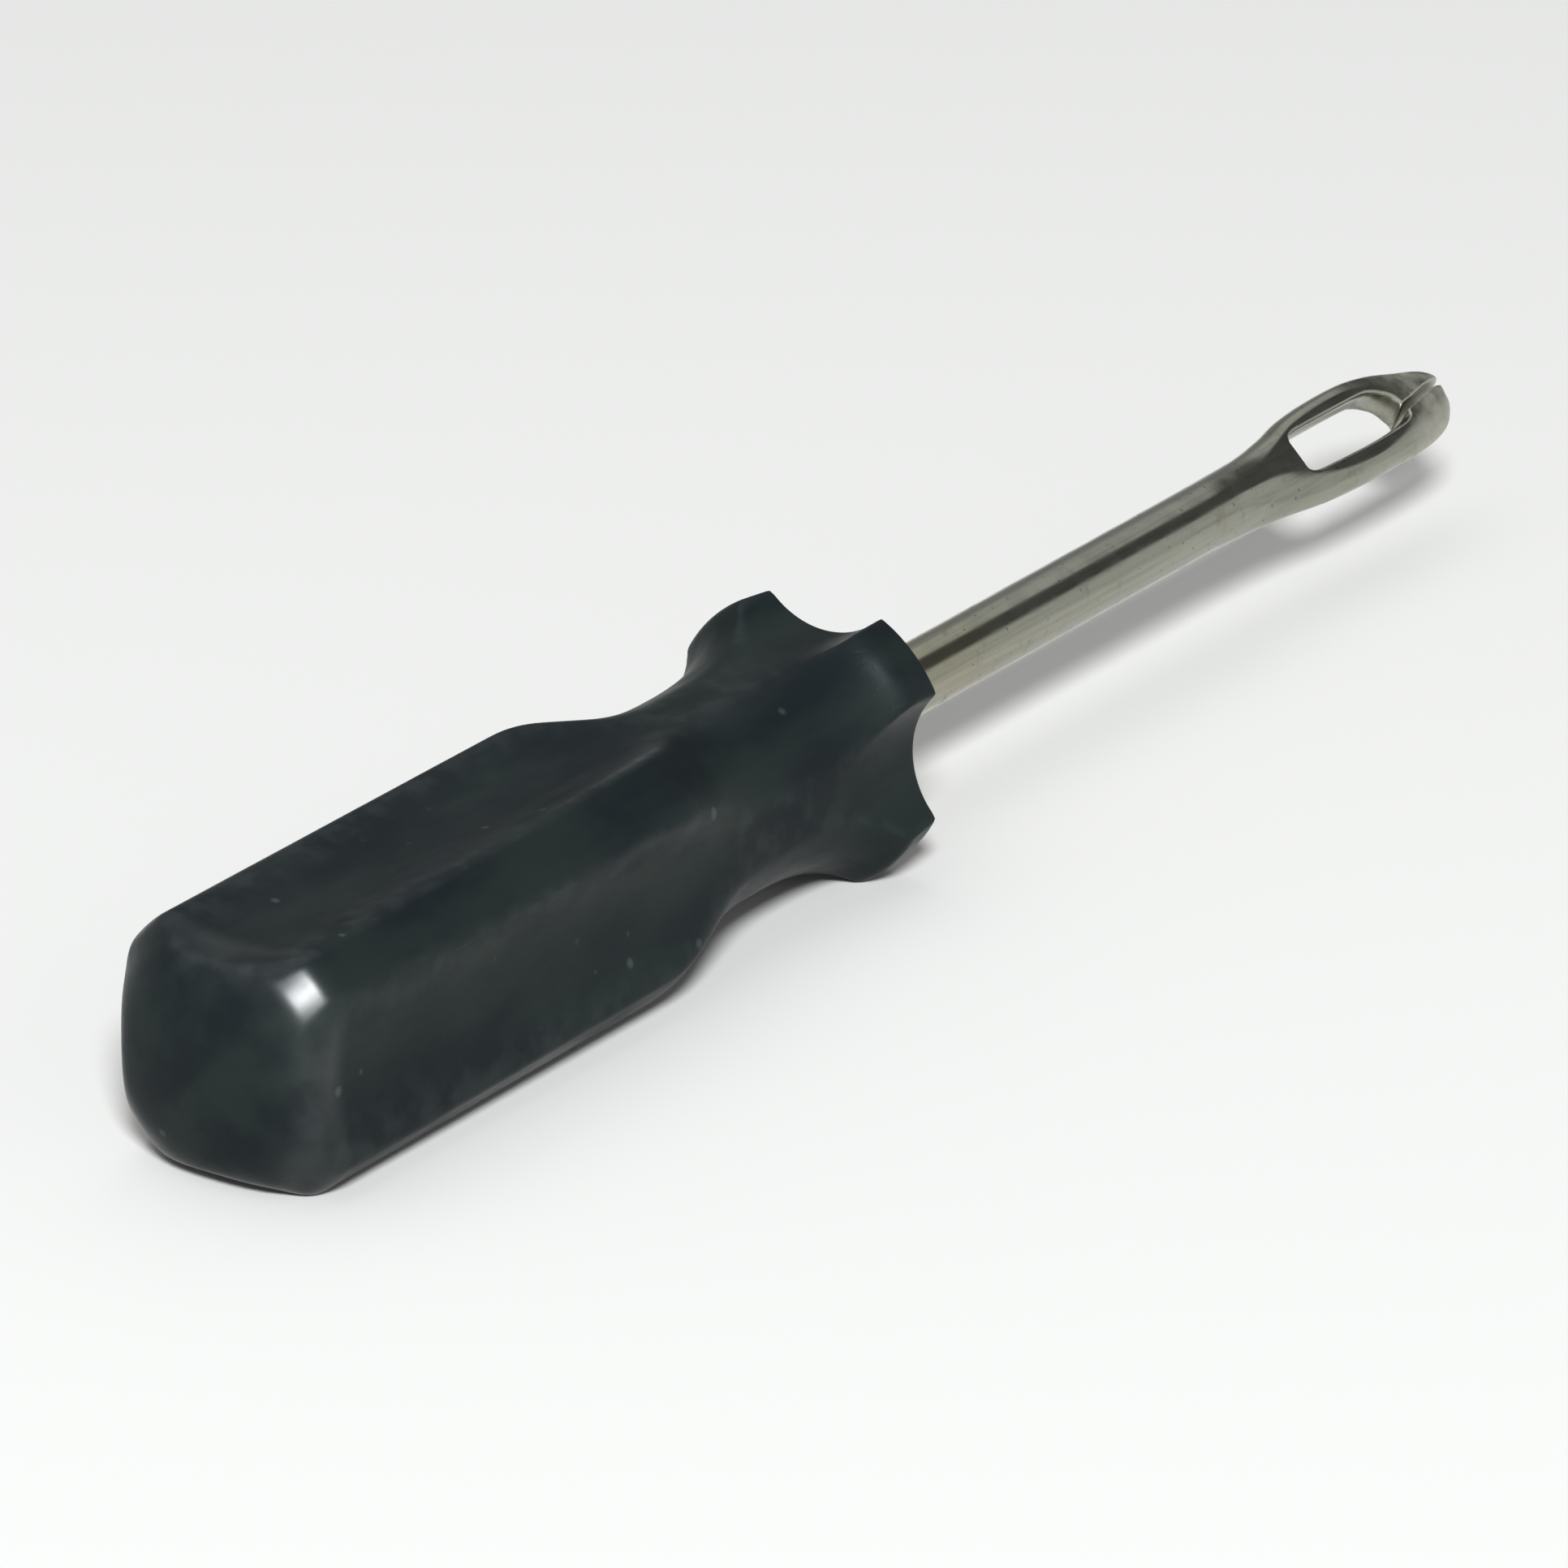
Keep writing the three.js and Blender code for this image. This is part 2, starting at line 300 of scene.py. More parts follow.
def grip_plastic(settings):
    """Satin black plastic with flow marks, moulded grain, dust and worn lobe edges."""
    material, wiring, shader = new_material("grip_plastic")
    calc = wiring.math
    along_flow = object_place(wiring, BUTT, (0.35, 1, 1))
    plain = object_place(wiring, BUTT)

    flow = wiring.ramp(noise(wiring, along_flow, 150, 3, 0.55), 0.34, 0.68, 0, 1)
    shade = wiring.blend(flow, rgba(settings.dark_shade), rgba(settings.light_shade))
    edge = wiring.add("ShaderNodeAttribute", attribute_name="edge").outputs["Fac"]
    patchy = wiring.ramp(noise(wiring, plain, 420, 3), 0.40, 0.66, 0, 1)
    worn = calc("MULTIPLY", calc("MULTIPLY", edge, patchy), 0.3)
    shade = wiring.blend(worn, shade, WORN_PLASTIC)

    specks = wiring.add(
        "ShaderNodeTexVoronoi", {"Vector": plain, "Scale": 230, "Randomness": 1})
    speck_size = calc("MULTIPLY", specks.outputs["Color"], 0.11)
    dust = wiring.ramp(
        calc("SUBTRACT", specks.outputs["Distance"], speck_size), -0.03, 0.05, 0.30, 0)
    shade = wiring.blend(dust, shade, DUST)
    wiring.tree.links.new(shade, shader.inputs["Base Color"])

    fine = noise(wiring, plain, 2600, 2)
    smudge = wiring.ramp(noise(wiring, along_flow, 260, 4, 0.6), 0.3, 0.72, -0.07, 0.09)
    roughness = calc("ADD", smudge, settings.gloss)
    roughness = calc("ADD", roughness, calc("MULTIPLY", worn, -0.16))
    wiring.tree.links.new(roughness, shader.inputs["Roughness"])
    shader.inputs["Specular IOR Level"].default_value = 0.055

    station = wiring.add("ShaderNodeSeparateXYZ", (plain,)).outputs["X"]
    on_rim = calc("MULTIPLY", wiring.ramp(station, *RIM_START, 0, 1),
                      wiring.ramp(station, *RIM_END, 1, 0))
    handled = wiring.ramp(noise(wiring, plain, 300, 3, 0.6), 0.25, 0.75, 0.28, 0.5)
    wiring.tree.links.new(calc("MULTIPLY", on_rim, handled), shader.inputs["Coat Weight"])
    shader.inputs["Coat Roughness"].default_value = 0.27

    grain = calc("MULTIPLY", fine, 0.006 * MM)
    scuffs = wiring.add(
        "ShaderNodeTexNoise",
        {"Vector": object_place(wiring, BUTT, (0.06, 1, 1)), "Scale": 1900, "Detail": 3})
    scuff_depth = wiring.ramp(scuffs.outputs["Fac"], 0.60, 0.74, 0, -0.008 * MM)
    waves = calc("MULTIPLY", noise(wiring, along_flow, 210, 2), 0.10 * MM)
    height = calc("ADD", calc("ADD", grain, scuff_depth), waves)
    bump = wiring.add(
        "ShaderNodeBump", {"Height": height, "Distance": 1.0, "Strength": 1.0})
    wiring.tree.links.new(bump.outputs[0], shader.inputs["Normal"])
    return material


DRAW_LINES = (0.17, 0.165, 0.135, 1)
STAINS = (0.19, 0.17, 0.12, 1)
PITS = (0.10, 0.09, 0.07, 1)
# Lighter steel colour painted on the nose as a painted highlight
PAINTED_NOSE_HIGHLIGHT = (0.54, 0.52, 0.45, 1)
WARM_TINT_FADES = (-2 * MM, 34 * MM)
NOSE_WEAR_AND_HIGHLIGHT_GROWS = (79 * MM, 84 * MM)


def plated_steel(settings):
    """Nickel plate over drawn steel: draw lines, small dents, a warm tint beside the collar, and a
    worn, rougher nose with a painted highlight.
    """
    material, wiring, shader = new_material("plated_steel")
    calc = wiring.math
    drawn = object_place(wiring, FACE, (0.03, 1, 1))
    plain = object_place(wiring, FACE)
    station = wiring.add("ShaderNodeSeparateXYZ", (plain,)).outputs["X"]

    # Warmer colour beside the collar, fading along the needle
    warmth = wiring.ramp(station, *WARM_TINT_FADES, 1, 0)
    cloudy = wiring.ramp(noise(wiring, plain, 190, 3), 0.3, 0.7, 0.35, 1)
    shade = wiring.blend(
        calc("MULTIPLY", warmth, cloudy), rgba(settings.plate_colour),
        rgba(settings.warm_colour))
    lines = noise(wiring, drawn, 2600, 3, 0.6)
    darkened = wiring.ramp(lines, 0.32, 0.60, 0.30, 0)
    shade = wiring.blend(darkened, shade, DRAW_LINES)
    stained = wiring.ramp(noise(wiring, plain, 520, 4, 0.62), 0.56, 0.72, 0, 0.34)
    shade = wiring.blend(stained, shade, STAINS)
    pits = wiring.add("ShaderNodeTexVoronoi", {"Vector": plain, "Scale": 900, "Randomness": 1})
    pit_size = calc("MULTIPLY", pits.outputs["Color"], 0.16)
    pitted = wiring.ramp(
        calc("SUBTRACT", pits.outputs["Distance"], pit_size), -0.03, 0.05, 0.55, 0)
    shade = wiring.blend(pitted, shade, PITS)
    # The nose is made rougher as wear, and its colour is blended towards a lighter steel as a
    # painted highlight
    nose_wear_and_highlight = calc("MULTIPLY", wiring.ramp(station, *NOSE_WEAR_AND_HIGHLIGHT_GROWS, 0, 1),
                     wiring.ramp(noise(wiring, plain, 700, 3), 0.3, 0.7, 0.45, 1))
    shade = wiring.blend(calc("MULTIPLY", nose_wear_and_highlight, 0.75), shade, PAINTED_NOSE_HIGHLIGHT)
    wiring.tree.links.new(shade, shader.inputs["Base Color"])
    shader.inputs["Metallic"].default_value = 1.0

    uneven = wiring.ramp(noise(wiring, plain, 330, 4, 0.6), 0.3, 0.7, -0.04, 0.08)
    roughness = calc("ADD", uneven, settings.polish)
    roughness = calc("ADD", roughness, calc("MULTIPLY", stained, 0.3))
    roughness = calc("ADD", roughness, calc("MULTIPLY", nose_wear_and_highlight, 0.36))
    wiring.tree.links.new(roughness, shader.inputs["Roughness"])

    draw_depth = calc("MULTIPLY", lines, 0.0011 * MM)
    dents = calc("MULTIPLY", noise(wiring, plain, 300, 2), 0.004 * MM)
    sunk = calc("MULTIPLY", pitted, -0.006 * MM)
    height = calc("ADD", calc("ADD", draw_depth, dents), sunk)
    bump = wiring.add(
        "ShaderNodeBump", {"Height": height, "Distance": 1.0, "Strength": 1.0})
    wiring.tree.links.new(bump.outputs[0], shader.inputs["Normal"])
    return material


def floor_paper(settings):
    """Plain pale paper."""
    material, _, shader = new_material("floor_paper")
    shader.inputs["Base Color"].default_value = rgba(settings.floor_colour)
    shader.inputs["Roughness"].default_value = 0.9
    shader.inputs["Specular IOR Level"].default_value = 0.1
    return material


# ---------------------------------------------------------------- grip


class Ring:
    """One ring of the grip's surface.

    The ring's outline runs from the fluted contour of lobe_radius (roundness 0) to a plain
    circle of round_radius (roundness 1). Wing is 1 where the ring has the tang's wings.
    """

    def __init__(self, station, lobe_radius, round_radius=0.0, roundness=0.0, wing=0.0):
        self.place = (station, lobe_radius, round_radius)
        self.roundness = roundness
        self.wing = wing


def outer_rings(grip):
    """The rings from the middle of the butt to the edge of the collar's face."""
    middle = Vector((0, 0))
    dome_handle = Vector((0, grip.dome_radius / 2))
    dome_end = Vector((grip.dome_height, grip.dome_radius))
    rim_end = Vector((grip.dome_height + grip.rim_length, grip.body_radius))
    rim_slope = (rim_end - dome_end).normalized() * grip.rim_softness
    after_dome = dome_end + rim_slope
    before_body = rim_end - rim_slope
    body_start = rim_end + Vector((grip.rim_softness, 0))
    body_end = Vector((grip.body_end, grip.body_radius))
    before_corner = body_end - Vector((grip.corner_softness, 0))
    shoulder = Vector((grip.shoulder_station, grip.shoulder_radius))
    fall = (shoulder - body_end).normalized()
    after_corner = body_end + fall * grip.corner_softness
    shoulder_bend = Vector((grip.shoulder_station + 3.2 * MM, grip.waist_radius))
    waist = Vector((grip.waist_station, grip.waist_radius))
    waist_handle = waist + Vector((14, -0.2)) * MM
    crest = Vector((grip.crest_station, grip.crest_radius))
    crest_handle = crest + Vector((-2.2, 0.15)) * MM
    front = Vector((GRIP_LENGTH - FACE_CORNER, grip.front_radius))

    dome = [middle, *curve_through(middle, dome_handle, dome_end, 14)]
    line = [point for point in dome if point.y < dome_end.y - grip.rim_softness]
    line += curve_through(line[-1], dome_end, after_dome, 7)
    line += curve_through(after_dome, (after_dome + before_body) / 2, before_body, 5)
    line += curve_through(before_body, rim_end, body_start, 7)
    line += curve_through(body_start, (body_start + before_corner) / 2, before_corner, 44)
    line += curve_through(before_corner, body_end, after_corner, 8)
    line += curve_through(after_corner, (after_corner + shoulder) / 2, shoulder, 8)
    line += curve_through(shoulder, shoulder_bend, waist, 16)
    line += curve_with_handles(waist, waist_handle, crest_handle, crest, 48)
    line += curve_through(crest, (crest + front) / 2, front, 7)
    return [Ring(point.x, point.y) for point in line]


def inner_rings(grip, needle):
    """The rings of the collar's face and of the pocket that holds the tang."""
    bore = needle.shank_radius + 0.02 * MM
    lip = 0.25 * MM
    face = grip.front_radius
    rings = []
    for turn in (18, 36, 54, 72, 90):
        station = GRIP_LENGTH - FACE_CORNER * (1 - math.sin(math.radians(turn)))
        inset = FACE_CORNER * (1 - math.cos(math.radians(turn))) / (face - bore)
        rings.append(Ring(station, face, bore + lip, inset))
    for share in (0.1, 0.25, 0.4, 0.55, 0.7, 0.85, 1.0):
        rings.append(Ring(GRIP_LENGTH, face, bore + lip, share))
    for turn in (30, 60, 90):
        drop = lip * (1 - math.cos(math.radians(turn)))
        inward = lip * math.sin(math.radians(turn))
        rings.append(Ring(GRIP_LENGTH - drop, face, bore + lip - inward, 1))
    wing_end = needle.wing_start + needle.wing_length + TANG_CLEARANCE
    wing_start = needle.wing_start - TANG_CLEARANCE
    for station, wing in ((wing_end, 0), (wing_end, 1), (wing_start, 1), (wing_start, 0)):
        rings.append(Ring(station, face, bore, 1, wing))
    tang_end = GRIP_LENGTH - needle.tang_length - TANG_CLEARANCE
    rings.append(Ring(tang_end, face, bore, 1))
    rings.append(Ring(tang_end, face, 0, 1))
    return rings


def ring_line(rings):
    """A mesh with one vertex for each ring, which carries the ring's numbers."""
    mesh = bpy.data.meshes.new("grip_rings")
    mesh.from_pydata([ring.place for ring in rings], [], [])
    for name in ("roundness", "wing"):
        layer = mesh.attributes.new(name, "FLOAT", "POINT")
        layer.data.foreach_set("value", [getattr(ring, name) for ring in rings])
    return mesh


WELD_DISTANCE = 0.002 * MM
GRIP_INPUTS = (
    ("Flute arc at butt", "FLOAT"), ("Flute arc at front", "FLOAT"),
    ("Flute bottom at butt", "FLOAT"), ("Flute bottom at front", "FLOAT"),
    ("Edge softness at butt", "FLOAT"), ("Edge softness at front", "FLOAT"),
    ("Grip length", "FLOAT"), ("Lobes", "INT"), ("Sectors", "INT"),
    ("Wing half span", "FLOAT"), ("Wing half thickness", "FLOAT"), ("Wing angle", "FLOAT"),
    ("Butt place", "VECTOR"), ("Material", "MATERIAL"),
)


def fluted_grip_tree():
    """Turns a line of rings into a closed fluted grip.

    Each flute is a round hollow whose arc and depth change evenly along the grip. The radius in
    a direction is the softened lesser of the lobes' radius and the hollow's nearest wall.
    """
    tree = bpy.data.node_groups.new("fluted_grip", "GeometryNodeTree")
    tree.interface.new_socket("Geometry", in_out="INPUT", socket_type="NodeSocketGeometry")
    tree.interface.new_socket("Geometry", in_out="OUTPUT", socket_type="NodeSocketGeometry")
    kinds = {"FLOAT": "NodeSocketFloat", "INT": "NodeSocketInt",
             "VECTOR": "NodeSocketVector", "MATERIAL": "NodeSocketMaterial"}
    for name, kind in GRIP_INPUTS:
        tree.interface.new_socket(name, in_out="INPUT", socket_type=kinds[kind])
    wiring = Wiring(tree)
    add, calc = wiring.add, wiring.math
    given = add("NodeGroupInput").outputs

    # A sheet with one row of vertices for each ring, and its two sides meeting
    size = add("GeometryNodeAttributeDomainSize", {"Geometry": given["Geometry"]})
    ring_count = size.outputs["Point Count"]
    columns = calc("ADD", given["Sectors"], 1)
    sheet = add("GeometryNodeMeshGrid", {
        "Size X": 1.0, "Size Y": 1.0, "Vertices X": ring_count, "Vertices Y": columns})
    place = add("GeometryNodeInputPosition").outputs[0]
    place = add("ShaderNodeSeparateXYZ", (place,)).outputs
    last_ring = calc("SUBTRACT", ring_count, 1)
    ring = calc("ROUND", calc("MULTIPLY", calc("ADD", place["X"], 0.5), last_ring))
    turn = calc("MULTIPLY", calc("SUBTRACT", 0.5, place["Y"]), math.tau)

    def ring_value(kind, source):
        """What the ring line holds for this row."""
        node = add("GeometryNodeSampleIndex", data_type=kind)
        tree.links.new(given["Geometry"], node.inputs["Geometry"])
        tree.links.new(source, node.inputs["Value"])
        tree.links.new(ring, node.inputs["Index"])
        return node.outputs[0]

    def named(attribute):
        """A number stored on the ring line under this name."""
        node = add("GeometryNodeInputNamedAttribute", {"Name": attribute}, data_type="FLOAT")
        return ring_value("FLOAT", node.outputs["Attribute"])

    sizes = ring_value("FLOAT_VECTOR", add("GeometryNodeInputPosition").outputs[0])
    sizes = add("ShaderNodeSeparateXYZ", (sizes,)).outputs
    station, lobe_radius, round_radius = sizes["X"], sizes["Y"], sizes["Z"]

    # The hollow of the nearest flute, as a distance from the axis
    along = calc("DIVIDE", station, given["Grip length"])
    arc = wiring.between(along, given["Flute arc at butt"], given["Flute arc at front"])
    bottom = wiring.between(along, given["Flute bottom at butt"], given["Flute bottom at front"])
    centre = calc("ADD", arc, bottom)
    half_pitch = calc("DIVIDE", math.pi, given["Lobes"])
    off_flute = calc("WRAP", turn, half_pitch, calc("MULTIPLY", half_pitch, -1))
    aside = calc("MULTIPLY", centre, calc("SINE", off_flute))
    inside = calc("SUBTRACT", calc("POWER", arc, 2), calc("POWER", aside, 2))
    nearest = calc("SUBTRACT", calc("MULTIPLY", centre, calc("COSINE", off_flute)),
                   calc("SQRT", calc("MAXIMUM", inside, 0)))
    hollow = calc("ADD", nearest, calc("LESS_THAN", inside, 0))
    softness = wiring.between(
        along, given["Edge softness at butt"], given["Edge softness at front"])
    contour = calc("SMOOTH_MIN", lobe_radius, hollow, softness)
    apart = calc("ABSOLUTE", calc("SUBTRACT", lobe_radius, hollow))
    edge = calc("SUBTRACT", 1, calc("MINIMUM", calc("DIVIDE", apart, softness), 1))

    # The pocket: a round bore, and a flat slot where the wings are
    off_wing = calc("SUBTRACT", turn, given["Wing angle"])
    to_tip = calc("DIVIDE", given["Wing half span"], calc("ABSOLUTE", calc("COSINE", off_wing)))
    to_side = calc(
        "DIVIDE", given["Wing half thickness"], calc("ABSOLUTE", calc("SINE", off_wing)))
    slot = calc("MULTIPLY", calc("MINIMUM", to_tip, to_side), named("wing"))
    pocket = calc("MAXIMUM", round_radius, slot)

    radius = wiring.between(named("roundness"), contour, pocket)
    spot = add("ShaderNodeCombineXYZ", (
        station, calc("MULTIPLY", radius, calc("COSINE", turn)),
        calc("MULTIPLY", radius, calc("SINE", turn))))
    spot = add("ShaderNodeVectorMath", (spot.outputs[0], given["Butt place"]), operation="ADD")
    outside = calc("SUBTRACT", 1, named("roundness"))
    with_edge = add("GeometryNodeStoreNamedAttribute", {
        "Geometry": sheet.outputs["Mesh"], "Name": "edge",
        "Value": calc("MULTIPLY", edge, outside)}, data_type="FLOAT", domain="POINT")
    shaped = add("GeometryNodeSetPosition", {
        "Geometry": with_edge.outputs[0], "Position": spot.outputs[0]})
    welded = add("GeometryNodeMergeByDistance", {
        "Geometry": shaped.outputs[0], "Distance": WELD_DISTANCE})
    smooth = add("GeometryNodeSetShadeSmooth", {"Geometry": welded.outputs[0]})
    real = add("GeometryNodeRealizeInstances", {"Geometry": smooth.outputs[0]})
    finish = add("GeometryNodeSetMaterial", {
        "Geometry": real.outputs[0], "Material": given["Material"]})
    add("NodeGroupOutput", {"Geometry": finish.outputs[0]})
    return tree


def grown(thing, tree, values):
    """The plain mesh that a Geometry Nodes tree makes of an object."""
    modifier = thing.modifiers.new("shape", "NODES")
    modifier.node_group = tree
    for item in tree.interface.items_tree:
        if item.in_out == "INPUT" and item.name in values:
            modifier[item.identifier] = values[item.name]
    depsgraph = bpy.context.evaluated_depsgraph_get()
    mesh = bpy.data.meshes.new_from_object(thing.evaluated_get(depsgraph))
    thing.modifiers.remove(modifier)
    return mesh


class PLUGTOOL_OT_grip(bpy.types.Operator):
    """Make the moulded grip"""

    bl_idname = "plug_tool.mould_grip"
    bl_label = "Mould the grip"

    def execute(self, context):
        grip = context.scene.plug_tool_grip
        needle = context.scene.plug_tool_needle
        line = ring_line(outer_rings(grip) + inner_rings(grip, needle))
        thing = mesh_object("grip", line)
        thing.data = grown(thing, fluted_grip_tree(), {
            "Flute arc at butt": grip.flute_arc_butt,
            "Flute arc at front": grip.flute_arc_front,
            "Flute bottom at butt": grip.flute_bottom_butt,
            "Flute bottom at front": grip.flute_bottom_front,
            "Edge softness at butt": grip.soft_butt,
            "Edge softness at front": grip.soft_front,
            "Grip length": GRIP_LENGTH,
            "Lobes": grip.lobe_count,
            "Sectors": grip.sectors,
            "Wing half span": needle.wing_span / 2 + TANG_CLEARANCE,
            "Wing half thickness": needle.wing_thickness / 2 + TANG_CLEARANCE,
            "Wing angle": LEAF_ANGLE,
            "Butt place": BUTT,
            "Material": grip_plastic(grip),
        })
        bpy.data.meshes.remove(line)
        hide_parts("handle")
        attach(thing, BODY)
        return {"FINISHED"}


# ---------------------------------------------------------------- needle


# Pairs of station and sideways place, in millimetres
LEAF_START = 50
UPPER_EDGE = (
    (52, 2.75), (60, 2.85), (64.5, 3.25), (68, 3.85), (72, 4.12), (77, 4.12),
    (81, 3.65), (84.5, 2.75), (87.2, 2.0), (88.6, 1.2), (88.95, 0.4),
)
LOWER_EDGE = (
    (88.7, -0.7), (88.1, -2.1), (86.0, -3.45), (82, -4.02), (75, -4.1),
    (68, -3.85), (61, -3.15), (52, -2.75),
)
EYE = (
    (66.7, -0.4), (66.75, -0.85), (67.6, -1.2), (70, -1.32), (75, -1.45), (79, -1.38), (81, -1.2),
    (81.75, -0.85), (81.6, -0.3), (81.1, 0.7), (80.1, 1.4), (79.1, 1.85), (77.6, 2.1),
    (72, 2.15), (67.6, 2.1), (66.75, 1.7), (66.7, 1.2),
)
SLIT_MIDDLE = ((81.0, -1.0), (83.5, -0.72), (86, -0.30), (90, 0.1))


def needle_outline(needle):
    """The plan of the needle in the plane of its leaf, as a closed line."""
    tang = -needle.tang_length
    corners = [(tang, -needle.shank_radius), (tang, needle.shank_radius)]
    return np.vstack([faired(UPPER_EDGE, 8), faired(LOWER_EDGE, 8), corners])


def eye_outline():
    """The plan of the eye, as a closed line."""
    return faired((*EYE, EYE[0]), 4)[:-1]


def slit_outline(needle):
    """The plan of the slit, as a closed line."""
    middle = faired(SLIT_MIDDLE, 5)
    half = np.array([0, needle.slit_width / 2])
    return np.vstack([middle - half, (middle + half)[::-1]])


def depth_inside(x, y, loop):
    """How far each point lies inside a closed outline; below zero outside it."""
    end = np.roll(loop, -1, axis=0)
    edge = end - loop
    across = x[:, None] - loop[:, 0]
    up = y[:, None] - loop[:, 1]
    share = np.clip((across * edge[:, 0] + up * edge[:, 1]) / (edge ** 2).sum(axis=1), 0, 1)
    gap = np.hypot(across - share * edge[:, 0], up - share * edge[:, 1]).min(axis=1)
    rise = np.where(edge[:, 1] == 0, 1, edge[:, 1])
    straddles = (loop[:, 1] > y[:, None]) != (end[:, 1] > y[:, None])
    crossed = straddles & (across < up / rise * edge[:, 0])
    return np.where(crossed.sum(axis=1) % 2 == 1, gap, -gap)


class NeedleForm:
    """The needle's shape: below zero inside the steel, zero on its surface."""

    def __init__(self, needle):
        self.needle = needle
        self.plan = needle_outline(needle)
        self.eye = eye_outline()
        self.slit = slit_outline(needle)
        full = needle.shank_radius / MM
        leaf = needle.leaf_thickness / 2 / MM
        nose = needle.nose_thickness / 2 / MM
        self.half_thickness = faired((
            (46, full), (LEAF_START, full), (54, full * 0.96), (58, full * 0.80), (62, full * 0.62),
            (66, leaf), (70, leaf), (76, leaf), (82, leaf), (86, leaf * 0.97), (89, nose)), 6)
        self.upper_rounding = faired((
            (46, full), (LEAF_START, full), (54, 2.7), (58, 2.45), (62, 2), (66, 1.4), (70, 1.2),
            (76, 1.2), (79.5, 1.8), (83, 3.2), (86, 3.2), (89, 1.5)), 6)
        self.lower_rounding = faired((
            (46, full), (LEAF_START, full), (54, 3.0), (58, 3.6), (62, 3.9), (66, 3), (70, 1.9),
            (76, 1.6), (82, 2.7), (86, 3.0), (89, 1.5)), 6)

    def plan_share(self, x, y):
        """How much of the full thickness is lost at a point of the plan: 0 none, 1 or more all."""
        inside = depth_inside(x, y, self.plan)
        upper = np.interp(x, *self.upper_rounding.T)
        lower = np.interp(x, *self.lower_rounding.T)
        crossover = 2 * MM
        side = np.clip(y / crossover + 0.5, 0, 1)
        rounding = lower + (upper - lower) * side * side * (3 - 2 * side)
        lost = np.maximum(1 - inside / rounding, 0) ** 2
        near = x > EYE[0][0] * MM - self.needle.eye_edge
        away = -depth_inside(x[near], y[near], self.eye)
        lost[near] += np.maximum(1 - away / self.needle.eye_edge, 0) ** 2
        return lost

    def slit_share(self, x, y, z):
        """The same for the slit, which leans off square to the leaf."""
        lost = np.zeros(x.shape)
        near = x > SLIT_MIDDLE[0][0] * MM - self.needle.slit_edge
        leaned = y[near] - z[near] * math.tan(self.needle.slit_lean)
        away = -depth_inside(x[near], leaned, self.slit)
        lost[near] = np.maximum(1 - away / self.needle.slit_edge, 0) ** 2
        return lost

    def wings(self, x, y, z):
        """Distance to the wings pinched out of the tang."""
        needle = self.needle
        rounding = 0.5 * MM
        middle = needle.wing_start + needle.wing_length / 2 - GRIP_LENGTH
        outside = np.stack([
            np.abs(x - middle) - needle.wing_length / 2,
            np.abs(y) - needle.wing_span / 2,
            np.abs(z) - needle.wing_thickness / 2]) + rounding
        beyond = np.linalg.norm(np.maximum(outside, 0), axis=0)
        return beyond + np.minimum(outside.max(axis=0), 0) - rounding

    def joined(self, x, y, z, lost):
        """The whole form, from the plan's share and the height off the leaf's plane."""
        thick = np.interp(x, *self.half_thickness.T)
        lost = lost + self.slit_share(x, y, z)
        steel = (np.sqrt((z / thick) ** 2 + lost) - 1) * thick
        blend = 0.6 * MM
        wings = self.wings(x, y, z)
        meet = np.maximum(blend - np.abs(steel - wings), 0) / blend
        return np.minimum(steel, wings) - meet ** 3 * blend / 6

    def at(self, points):
        """The form at scattered points."""
        x, y, z = points.T
        return self.joined(x, y, z, self.plan_share(x, y))

    def on_grid(self, xs, ys, zs):
        """The form on a grid."""
        plan_x, plan_y = np.meshgrid(xs, ys, indexing="ij")
        lost = self.plan_share(plan_x.ravel(), plan_y.ravel()).reshape(plan_x.shape)
        x, y, z = np.meshgrid(xs, ys, zs, indexing="ij")
        return self.joined(x, y, z, lost[:, :, None])


def shifted(array, offsets):
    """The array's cells or corners, one fewer along each axis, starting at these offsets."""
    return array[tuple(slice(o, o + n - 1) for o, n in zip(offsets, array.shape))]


def skin(values, axes):
    """The surface where a form on a grid is zero: one vertex in each mixed cell, and quads."""
    inside = values < 0
    corners = [(i, j, k) for i in (0, 1) for j in (0, 1) for k in (0, 1)]
    filled = sum(shifted(inside, corner).astype(int) for corner in corners)
    mixed = (filled > 0) & (filled < len(corners))
    number = np.full(mixed.shape, -1)
    number[mixed] = np.arange(mixed.sum())

    total = np.zeros((mixed.sum(), 3))
    count = np.zeros(mixed.sum())
    grids = np.meshgrid(*axes, indexing="ij")
    places = np.stack(grids, axis=-1)
    cells = np.argwhere(mixed)
    for first in corners:
        for axis in range(3):
            if first[axis]:
                continue
            second = tuple(1 if a == axis else c for a, c in enumerate(first))
            here, there = tuple((cells + first).T), tuple((cells + second).T)
            low, high = values[here], values[there]
            cut = (low < 0) != (high < 0)
            share = np.where(cut, low / np.where(cut, low - high, 1), 0)[:, None]
            spot = places[here] * (1 - share) + places[there] * share
            total[cut] += spot[cut]
            count[cut] += 1
    vertices = total / count[:, None]

    quads = []
    for axis in range(3):
        side, other = (axis + 1) % 3, (axis + 2) % 3
        step = np.zeros((2, 3), int)
        step[0, side] = step[1, other] = 1
        length_cut = np.diff(inside.astype(int), axis=axis)
        edges = np.argwhere(length_cut != 0)
        around = [edges - step[0] - step[1], edges - step[1], edges, edges - step[0]]
        loop = np.stack([number[tuple(cell.T)] for cell in around], axis=1)
        backwards = length_cut[tuple(edges.T)] > 0
        loop[backwards] = loop[backwards, ::-1]
        quads.append(loop)
    return vertices, np.vstack(quads)


